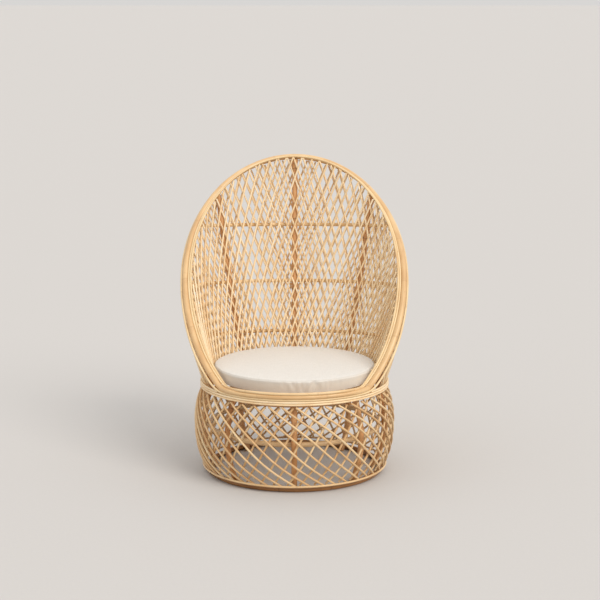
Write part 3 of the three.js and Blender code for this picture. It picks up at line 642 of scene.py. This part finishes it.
# Rim: a thick straw-coloured pole bent in one sweep from the seat over the top of the back and down again,
# with one thin cane outside it and two inside. Its feet thin out and lie along the front as part of the
# waist band, and so does the outer cane; the inner canes run down to the cane on top of the band.
RIM_POLE = 0.0220
RIM_POLE_SIDES = 24
RIM_CANE = 0.0080
RIM_POLE_OFFSET = 0.0090
RIM_OUTER_OFFSET = 0.0241
RIM_INNER_OFFSETS = (-0.0061, -0.0139)
RIM_INNER_ENDS = (131, 137)
# The outer cane stands off the pole by this much more where it swings out into the band
RIM_OUTER_SWING = 0.0050
RIM_SWING_BEARINGS = (80, 112)
RIM_JOINT_SWELL = 0.0002
RIM_END = 148
# Length of the thinned foot, and the share of the girth that is left at its end
RIM_SCARF = (0.17, 0.66)
# Bearings between which each length leaves the line of the rim for the front
POLE_TURN = (117, 141)
OUTER_TURN = (112, 138)
INNER_TURN = (119, 148)
BAND_FINE_CANE = 0.0080
BAND_FINE_RADIUS = ring_radius("band_fine_cane_1", BAND_FINE_CANE)
BAND_FINE_STEP = 0.0083
BAND_BOTTOM_Z = 0.325
BAND_POLE = 0.0150
BAND_TOP_CANE = 0.0098
band_top_fine_z = BAND_BOTTOM_Z + 2.5 * BAND_FINE_STEP


# Radius and height of a bent pole across the front, from the box of its solid
def front_place(node, girth):
    low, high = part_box(node)
    return CHAIR_AXIS[1] - low.y - girth / 2, (low.z + high.z) / 2


# A loop that follows the rim, leaves it between two bearings for a level ring round the front, and bends
# softly where the two meet. It has LOOP_POINTS to a degree, from the middle of the back.
LOOP_POINTS = 4
LOOP_SOFTNESS = 8.0


def rim_loop(offset, place, turn, swing=0.0):
    bearing = np.arange(360 * LOOP_POINTS) / LOOP_POINTS
    side = 180 - np.abs(180 - bearing)
    on_rim = back_point(bearing, rim_height(side), offset + swing * smooth_part(side, *RIM_SWING_BEARINGS))
    on_ring = spoke(bearing) * place[0]
    on_ring[:, 2] = place[1]
    part = smooth_part(side, *turn)[:, None]
    loop = on_rim * (1 - part) + on_ring * part
    half = round(LOOP_SOFTNESS * LOOP_POINTS)
    return softened(np.concatenate([loop[-half:], loop, loop[:half]]), half)


# The part of a loop between two bearings
def stretch(loop, start, end):
    return loop[np.arange(round(start * LOOP_POINTS), round(end * LOOP_POINTS) + 1) % len(loop)]


band_pole_place = front_place("band_pole", BAND_POLE)
band_top_place = front_place("band_top_cane", BAND_TOP_CANE)
pole_loop = rim_loop(RIM_POLE_OFFSET, band_pole_place, POLE_TURN)
outer_loop = rim_loop(RIM_OUTER_OFFSET, (BAND_FINE_RADIUS, band_top_fine_z), OUTER_TURN, RIM_OUTER_SWING)
inner_loops = [rim_loop(offset, band_top_place, INNER_TURN) for offset in RIM_INNER_OFFSETS]
straw_pole = rattan("straw_rattan_pole", "E6CBA0", "DCB987", "CA9F6C", "9A6E41", 0.40, 0.30, 0.16)
straw_cane = rattan("straw_rattan_cane", "F0DBB5", "E5CA9C", "D5AF7C", "A27A4A", 0.42, 0.26, 0.14)
rim_line = stretch(pole_loop, -RIM_END, RIM_END)
fix(round_stock("rim_bend", [rim_line], RIM_POLE, RIM_POLE_SIDES, swell=RIM_JOINT_SWELL, scarf=RIM_SCARF),
    straw_pole, "rim", "rim_pole")
fix(cane_stock("rim_outside_cane", [stretch(outer_loop, -180, 180)], RIM_CANE, THIN_SIDES),
    straw_cane, "cane", "rim_outer_cane")
for number, loop, end in zip((1, 2), inner_loops, RIM_INNER_ENDS):
    fix(cane_stock(f"rim_inside_cane_{number}", [stretch(loop, -end, end)], RIM_CANE, THIN_SIDES),
        straw_cane, "cane", f"rim_inner_cane_{number}")

# Waist band: fine canes laid one above the other round the waist hide the ends of both lattices. At the front
# a rail, a pole and a thin cane close the gap between the two feet of the rim, whose bends they go on with.
FRONT_RAIL_POLE = 0.0215
FRONT_RAIL_END = 131.5
# The two lower fine canes start at different bearings; the upper one stops where the rim's outer cane takes
# its place
BAND_START_STEP = 30
BAND_BACK_END = 127
BAND_POLE_END = 127
BAND_POLE_SIDES = 16
BAND_TOP_END = 124
BAND_TOP_SIDES = 14
BAND_TOP_SCARF = (0.08, 0.76)
front_rail_place = front_place("front_rail", FRONT_RAIL_POLE)
front_rail_line = level_ring(*front_rail_place, FRONT_RAIL_END, 360 - FRONT_RAIL_END)
fix(round_stock("front_rail_bend", [front_rail_line], FRONT_RAIL_POLE, swell=RIM_JOINT_SWELL),
    honey_pole, "rim", "front_rail")
for number in (1, 2):
    height = BAND_BOTTOM_Z + (number - 0.5) * BAND_FINE_STEP
    start = BAND_START_STEP * number
    line = level_ring(BAND_FINE_RADIUS, height, start, start + 360 - RING_GAP)
    fix(cane_stock(f"waist_cane_{number}", [line], BAND_FINE_CANE, THIN_SIDES),
        peeled_cane, "cane", f"band_fine_cane_{number}")
band_back_line = level_ring(BAND_FINE_RADIUS, band_top_fine_z, -BAND_BACK_END, BAND_BACK_END)
fix(cane_stock("waist_cane_3", [band_back_line], BAND_FINE_CANE, THIN_SIDES),
    peeled_cane, "cane", "band_fine_cane_3")
band_pole_line = stretch(pole_loop, BAND_POLE_END, 360 - BAND_POLE_END)
fix(round_stock("front_band_pole", [band_pole_line], BAND_POLE, BAND_POLE_SIDES, swell=RIM_JOINT_SWELL),
    straw_pole, "cane", "band_pole")
# The band's top cane is of the darker golden cane as painted shade over its top, which the light from above
# falls on
band_top_line = stretch(inner_loops[0], BAND_TOP_END, 360 - BAND_TOP_END)
fix(cane_stock("front_band_cane", [band_top_line], BAND_TOP_CANE, BAND_TOP_SIDES, BAND_TOP_SCARF),
    golden_cane_painted_shade, "cane", "band_top_cane")

# Cushion: a loose round boxed cushion in cream cotton canvas over foam. Two round panels are sewn to a
# side strip that leans out with the lattice, and the strip creases upright where it is a little long.
cushion_low, cushion_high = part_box("cushion")
# The cover is a little wider than its solid, lies a hair above the slats and leaves room on top for its crown
# and its swelling
CUSHION_SPARE = 0.0030
CUSHION_CLEARANCE = 0.0003
CUSHION_ROOM = 0.0050
CUSHION_RADIUS = (cushion_high.x - cushion_low.x) / 2 + CUSHION_SPARE
CUSHION_LEAN = 0.0095
CUSHION_BOTTOM = cushion_low.z + CUSHION_CLEARANCE
CUSHION_TOP = cushion_high.z - CUSHION_ROOM
CUSHION_CROWN = 0.0040
CUSHION_EDGE = 0.0030
CUSHION_SHOULDER = 0.0075
CUSHION_TURN = 384
PANEL_RINGS = 14
STRIP_RINGS = 13
# Rings below the top seam over which the painted light on the side strip fades out towards that seam
STRIP_LIGHT_FADE = 7
# Share of the seam's darkening on the rings beside it: painted shade over the rounded edge at each seam
SHADE_BESIDE_SEAM = 0.7
PRESSURE = 4.0
PRESSURE_FRAMES = 20
MOST_SWELLING = 0.0022
# Creases of the strip: bearings of the slackest stretch, how many there are and how deep and wide they get
CREASE_MIDDLE = 170
CREASE_SPREAD = 14
CREASES = 26
CREASE_DEPTH = 0.0026
CREASE_HALF_WIDTH = 1.1
# Away from the slackest stretch creases keep this share of their depth
LEAST_SLACK = 0.25
SLACK_SPREAD = 1.4 * CREASE_SPREAD
DEPTH_SHARES = (0.4, 1.0)
WIDTH_SHARES = (0.8, 1.6)
REACH_SHARES = (0.45, 1.1)
CREASE_TILT = 2.0
CREASE_FADE = 0.6
# The cloth that a crease takes in stands up on both sides of it
RIDGE_HEIGHT = 0.55
RIDGE_PLACE = 2.1
RIDGE_WIDTH = 1.2


# Rings of the cover from the middle of the bottom panel over the side strip to the middle of the top panel,
# with the ring numbers of the two seams
def cover_rings():
    corner = [(math.sin(a), 1 - math.cos(a)) for a in np.radians((15, 30, 45, 60, 75))]
    low_flat = CUSHION_RADIUS - CUSHION_LEAN - CUSHION_EDGE
    top_flat = CUSHION_RADIUS - CUSHION_SHOULDER
    spread = np.sin(np.linspace(0, math.pi / 2, PANEL_RINGS + 1))[1:]
    bottom = [(low_flat * r, CUSHION_BOTTOM) for r in spread]
    top = [(top_flat * r, CUSHION_TOP + CUSHION_CROWN * (1 - r * r)) for r in spread[::-1]]
    lower = [(low_flat + CUSHION_EDGE * out, CUSHION_BOTTOM + CUSHION_EDGE * up) for out, up in corner]
    upper = [(top_flat + CUSHION_SHOULDER * out, CUSHION_TOP - CUSHION_SHOULDER * up)
             for out, up in corner[::-1]]
    part = np.linspace(0, 1, STRIP_RINGS)
    radius = CUSHION_RADIUS - CUSHION_LEAN * (1 - part)
    strip_rise = CUSHION_TOP - CUSHION_SHOULDER - CUSHION_BOTTOM
    height = CUSHION_BOTTOM + CUSHION_EDGE * (1 - part) + part * strip_rise
    rings = bottom + lower + list(zip(radius, height)) + upper + top
    half = len(corner) // 2
    return rings, (len(bottom) + half, len(rings) - len(top) - half - 1)


def cushion_mesh(name):
    rings, seams = cover_rings()
    out = spoke(np.linspace(0, 360, CUSHION_TURN, endpoint=False))
    corners = np.concatenate([out * radius + [0, 0, height] for radius, height in rings])
    middles = [[0, 0, CUSHION_BOTTOM], [0, 0, CUSHION_TOP + CUSHION_CROWN]]
    row, column = np.meshgrid(np.arange(len(rings) - 1), np.arange(CUSHION_TURN), indexing="ij")
    beside = (column + 1) % CUSHION_TURN
    faces = np.stack([row * CUSHION_TURN + beside, row * CUSHION_TURN + column,
                      (row + 1) * CUSHION_TURN + column, (row + 1) * CUSHION_TURN + beside], axis=-1)
    faces = faces.reshape(-1, 4).tolist()
    last = (len(rings) - 1) * CUSHION_TURN
    for j in range(CUSHION_TURN):
        k = (j + 1) % CUSHION_TURN
        faces.append([j, k, len(corners)])
        faces.append([last + k, last + j, len(corners) + 1])
    mesh = bpy.data.meshes.new(name)
    mesh.from_pydata((np.concatenate([corners, middles]) + CHAIR_AXIS).tolist(), [], faces)
    # The seam rings and, at a share, the rings beside them are marked for the seam line and for painted shade
    # on the rounded edges
    seam_and_shade = np.zeros(len(mesh.vertices), np.float32)
    for ring in seams:
        seam_and_shade[(ring - 1) * CUSHION_TURN:(ring + 2) * CUSHION_TURN] = SHADE_BESIDE_SEAM
        seam_and_shade[ring * CUSHION_TURN:(ring + 1) * CUSHION_TURN] = 1.0
    mesh.attributes.new("seam_and_shade", "FLOAT", "POINT").data.foreach_set("value", seam_and_shade)
    # Share of painted light on each ring of the side strip: full low down, fading out towards the top seam
    strip = np.zeros(len(mesh.vertices), np.float32)
    for ring in range(seams[0], seams[1]):
        strip[ring * CUSHION_TURN:(ring + 1) * CUSHION_TURN] = min(1.0, (seams[1] - ring) / STRIP_LIGHT_FADE)
    mesh.attributes.new("strip", "FLOAT", "POINT").data.foreach_set("value", strip)
    mesh.shade_smooth()
    return mesh, seams


# Air pressure rounds the cover as the foam inside it does; the bottom panel stays flat on the slats
def inflate(piece, held_points):
    held = piece.vertex_groups.new(name="held")
    held.add(held_points, 1.0, "REPLACE")
    cloth = piece.modifiers.new("cover", "CLOTH")
    cover = cloth.settings
    cover.quality = 6
    cover.mass = 0.25
    cover.tension_stiffness = 25
    cover.compression_stiffness = 25
    cover.shear_stiffness = 8
    cover.bending_stiffness = 0.15
    cover.use_pressure = True
    cover.uniform_pressure_force = PRESSURE
    cover.vertex_group_mass = "held"
    cover.effector_weights.gravity = 0
    cloth.point_cache.frame_end = PRESSURE_FRAMES
    before = np.array([v.co[:] for v in piece.data.vertices])
    for number in range(1, PRESSURE_FRAMES + 1):
        bpy.context.scene.frame_set(number)
    swollen = piece.evaluated_get(bpy.context.evaluated_depsgraph_get()).to_mesh()
    move = np.array([v.co[:] for v in swollen.vertices]) - before
    size = np.linalg.norm(move, axis=1, keepdims=True)
    move *= np.minimum(1, MOST_SWELLING / np.maximum(size, 1e-9))
    piece.modifiers.remove(cloth)
    piece.vertex_groups.clear()
    bpy.context.scene.frame_set(1)
    after = before + move
    after[:, 2] = np.maximum(after[:, 2], CUSHION_BOTTOM)
    piece.data.vertices.foreach_set("co", after.ravel())


# Upright creases start at the top seam, lean a little and run out towards the bottom
def crease_strip(piece, seams):
    count = seams[1] - seams[0] + 1
    points = np.array([v.co[:] for v in piece.data.vertices])
    first = seams[0] * CUSHION_TURN
    strip = points[first:first + count * CUSHION_TURN].reshape(count, CUSHION_TURN, 3)
    bearing = np.linspace(0, 360, CUSHION_TURN, endpoint=False)
    down = np.linspace(1, 0, count)[:, None]
    fold = np.zeros((count, CUSHION_TURN))
    places = draw.uniform(0, 360, CREASES).tolist()
    places += draw.normal(CREASE_MIDDLE, CREASE_SPREAD, CREASES).tolist()
    for place in places:
        slackness = LEAST_SLACK + (1 - LEAST_SLACK) * math.exp(-((place - CREASE_MIDDLE) / SLACK_SPREAD) ** 2)
        depth = CREASE_DEPTH * slackness * draw.uniform(*DEPTH_SHARES)
        width = CREASE_HALF_WIDTH * draw.uniform(*WIDTH_SHARES)
        reach = draw.uniform(*REACH_SHARES)
        off = bearing - place - draw.normal(0, CREASE_TILT) * down
        beside = (np.abs(off) - RIDGE_PLACE * width) / (RIDGE_WIDTH * width)
        hollow = np.exp(-((off / width) ** 2)) - RIDGE_HEIGHT * np.exp(-(beside ** 2))
        fold += depth * hollow * np.sin(np.pi * np.clip(down / reach, 0, 1) ** CREASE_FADE)
    strip -= spoke(bearing)[None] * fold[..., None]
    piece.data.vertices.foreach_set("co", points.ravel())


# Plain-woven cotton canvas: matt, with thicker slubs in both threads and a faint sheen of loose fibres.
# Its threads are 0.6 mm apart and are drawn 1.8 mm apart so that they show.
THREAD_SPACING = 0.0018
SLUB_LENGTH = 0.028
# The two threads' slubs add up to a value in about this range, from flat cloth to thick slub
WEAVE_RANGE = (0.75, 1.25)
CANVAS_ROUGHNESS = (0.84, 0.94)
# Most share of the painted light on the side strip
STRIP_LIGHT_SHARE = 0.80
# Share of the darker tone at the seams: the seam line and its painted shade
SEAM_AND_SHADE_SHARE = 0.42
# Soft creases of the whole cover and their share of the relief
CREASE_WIDTH = 0.020
CREASE_SHARE = 1.6
CANVAS_RELIEF = 0.0008
CANVAS_STRENGTH = 0.4


def canvas(name, cream, shade, seam_thread_and_shade, side_light_cream):
    material = bpy.data.materials.new(name)
    material.use_nodes = True
    tree = material.node_tree
    shader = tree.nodes["Principled BSDF"]
    place = add_node(tree, "ShaderNodeTexCoord")
    slubs = []
    for scale in ((1 / SLUB_LENGTH, 1 / THREAD_SPACING, 1 / THREAD_SPACING),
                  (1 / THREAD_SPACING, 1 / SLUB_LENGTH, 1 / SLUB_LENGTH)):
        threads = add_node(tree, "ShaderNodeMapping", {"Vector": place.outputs["Object"], "Scale": scale})
        slubs.append(add_node(tree, "ShaderNodeTexNoise", {
            "Vector": threads.outputs["Vector"], "Scale": 1.0, "Detail": 2.0}))
    weave = add_node(tree, "ShaderNodeMath", {
        0: slubs[0].outputs["Fac"], 1: slubs[1].outputs["Fac"]}, operation="ADD")
    level = add_node(tree, "ShaderNodeMapRange", {
        "Value": weave.outputs["Value"], "From Min": WEAVE_RANGE[0], "From Max": WEAVE_RANGE[1]})
    colour = add_node(tree, "ShaderNodeMix", {
        "Factor": level.outputs["Result"], 6: linear(shade), 7: linear(cream)}, data_type="RGBA")
    # The side strip is painted lighter and warmer than the panels: painted light that stands in for warm
    # light thrown back onto it from the rattan
    strip = add_node(tree, "ShaderNodeAttribute", attribute_name="strip")
    strip_painted_light = add_node(tree, "ShaderNodeMath", {
        0: strip.outputs["Fac"], 1: STRIP_LIGHT_SHARE}, operation="MULTIPLY")
    side_lit = add_node(tree, "ShaderNodeMix", {
        "Factor": strip_painted_light.outputs["Value"], 6: colour.outputs[2], 7: linear(side_light_cream)},
        data_type="RGBA")
    # Along the seams the colour turns towards a darker tone: a seam line, and on the rings beside it painted
    # shade that damps the light on the rounded shoulder
    seam_and_shade = add_node(tree, "ShaderNodeAttribute", attribute_name="seam_and_shade")
    seam_and_shade_weight = add_node(tree, "ShaderNodeMath", {
        0: seam_and_shade.outputs["Fac"], 1: SEAM_AND_SHADE_SHARE}, operation="MULTIPLY")
    sewn_and_shaded = add_node(tree, "ShaderNodeMix", {
        "Factor": seam_and_shade_weight.outputs["Value"], 6: side_lit.outputs[2], 7: linear(seam_thread_and_shade)}, data_type="RGBA")
    tree.links.new(sewn_and_shaded.outputs[2], shader.inputs["Base Color"])
    creases = add_node(tree, "ShaderNodeTexNoise", {
        "Vector": place.outputs["Object"], "Scale": 1 / CREASE_WIDTH, "Detail": 1.0})
    relief = add_node(tree, "ShaderNodeMath", {
        0: creases.outputs["Fac"], 1: CREASE_SHARE, 2: weave.outputs["Value"]}, operation="MULTIPLY_ADD")
    bump = add_node(tree, "ShaderNodeBump", {
        "Height": relief.outputs["Value"], "Strength": CANVAS_STRENGTH, "Distance": CANVAS_RELIEF})
    tree.links.new(bump.outputs["Normal"], shader.inputs["Normal"])
    # Slubs stand up and look a little duller than the flat of the cloth
    dullness = add_node(tree, "ShaderNodeMapRange", {
        "Value": weave.outputs["Value"], "From Min": WEAVE_RANGE[0], "From Max": WEAVE_RANGE[1],
        "To Min": CANVAS_ROUGHNESS[0], "To Max": CANVAS_ROUGHNESS[1]})
    tree.links.new(dullness.outputs["Result"], shader.inputs["Roughness"])
    shader.inputs["Sheen Weight"].default_value = 0.15
    shader.inputs["Sheen Roughness"].default_value = 0.5
    shader.inputs["Specular IOR Level"].default_value = 0.25
    return material


cover, seams = cushion_mesh("seat_cushion")
cushion = bpy.data.objects.new("seat_cushion", cover)
bpy.context.scene.collection.objects.link(cushion)
inflate(cushion, list(range((PANEL_RINGS // 2) * CUSHION_TURN)))
crease_strip(cushion, seams)
cushion.data.materials.append(canvas("cream_cotton_canvas", "DEDBD6", "D6D3CD", "BCB3A6", "EAE2D5"))
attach(cushion, "cushion")
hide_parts("cushion")

# Studio: a plain pale floor, soft daylight all round and one broad light from the upper right, seen from a
# standing photographer's height with a long lens.
FLOOR_NEAR = 20.0
FLOOR_REACH = 4000.0
FLOOR_GRIT = 0.012
FLOOR_ROUGHNESS = 0.8
# Strength of the daylight at the horizon and overhead
SKY_STRENGTH = (0.76, 1.16)
# Strength, spread, and turns from overhead and round the upright of the broad light
WINDOW_STRENGTH = 1.65
WINDOW_SPREAD = math.radians(34)
WINDOW_TURN = (math.radians(50), 0, math.radians(42))
LENS = 97.92
SENSOR = 36.0
CAMERA_SIDE = 0.0208
CAMERA_DISTANCE = 6.0
CAMERA_HEIGHT = 1.74
CAMERA_TILT = 10.33
square = ((-1, -1), (1, -1), (1, 1), (-1, 1))
floor_points = [(x * reach, y * reach, 0) for reach in (FLOOR_NEAR, FLOOR_REACH) for x, y in square]
floor_faces = [(0, 1, 2, 3)] + [(i, i + 4, (i + 1) % 4 + 4, (i + 1) % 4) for i in range(4)]
floor_mesh = bpy.data.meshes.new("studio_floor")
floor_mesh.from_pydata(floor_points, [], floor_faces)
floor =bpy.data.objects.new("studio_floor", floor_mesh)
bpy.context.scene.collection.objects.link(floor)
floor_paint = bpy.data.materials.new("pale_floor_paint")
floor_paint.use_nodes = True
floor_tree = floor_paint.node_tree
floor_place = add_node(floor_tree, "ShaderNodeTexCoord")
floor_grain = add_node(floor_tree, "ShaderNodeTexNoise", {
    "Vector": floor_place.outputs["Object"], "Scale": 1 / FLOOR_GRIT, "Detail": 3.0})
floor_tint = add_node(floor_tree, "ShaderNodeMix", {
    "Factor": floor_grain.outputs["Fac"], 6: linear("C3C1BF"), 7: linear("C7C5C3")}, data_type="RGBA")
floor_tree.links.new(floor_tint.outputs[2], floor_tree.nodes["Principled BSDF"].inputs["Base Color"])
floor_tree.nodes["Principled BSDF"].inputs["Roughness"].default_value = FLOOR_ROUGHNESS
floor.data.materials.append(floor_paint)

scene = bpy.context.scene
scene.view_settings.view_transform = "Standard"
world = scene.world or bpy.data.worlds.new("daylight")
scene.world = world
world.use_nodes = True
# Daylight is brighter overhead than at the horizon
sky = world.node_tree
direction = add_node(sky, "ShaderNodeTexCoord")
sky_parts = add_node(sky, "ShaderNodeSeparateXYZ", {"Vector": direction.outputs["Generated"]})
brightness = add_node(sky, "ShaderNodeMapRange", {
    "Value": sky_parts.outputs["Z"], "From Min": 0.0, "From Max": 1.0,
    "To Min": SKY_STRENGTH[0], "To Max": SKY_STRENGTH[1]})
sky.nodes["Background"].inputs["Color"].default_value = linear("F4F2F0")
sky.links.new(brightness.outputs["Result"], sky.nodes["Background"].inputs["Strength"])

window = bpy.data.lights.new("window_light", "SUN")
window.energy = WINDOW_STRENGTH
window.angle = WINDOW_SPREAD
window.color = linear("FFF8F0")[:3]
window_lamp = bpy.data.objects.new("window_light", window)
window_lamp.rotation_euler = WINDOW_TURN
scene.collection.objects.link(window_lamp)

camera_data = bpy.data.cameras.new("camera")
camera_data.sensor_width = SENSOR
camera_data.lens = LENS
camera = bpy.data.objects.new("camera", camera_data)
camera.location = (CAMERA_SIDE, CHAIR_AXIS[1] - CAMERA_DISTANCE, CAMERA_HEIGHT)
camera.rotation_euler = (math.radians(90 - CAMERA_TILT), 0, 0)
scene.collection.objects.link(camera)
scene.camera = camera
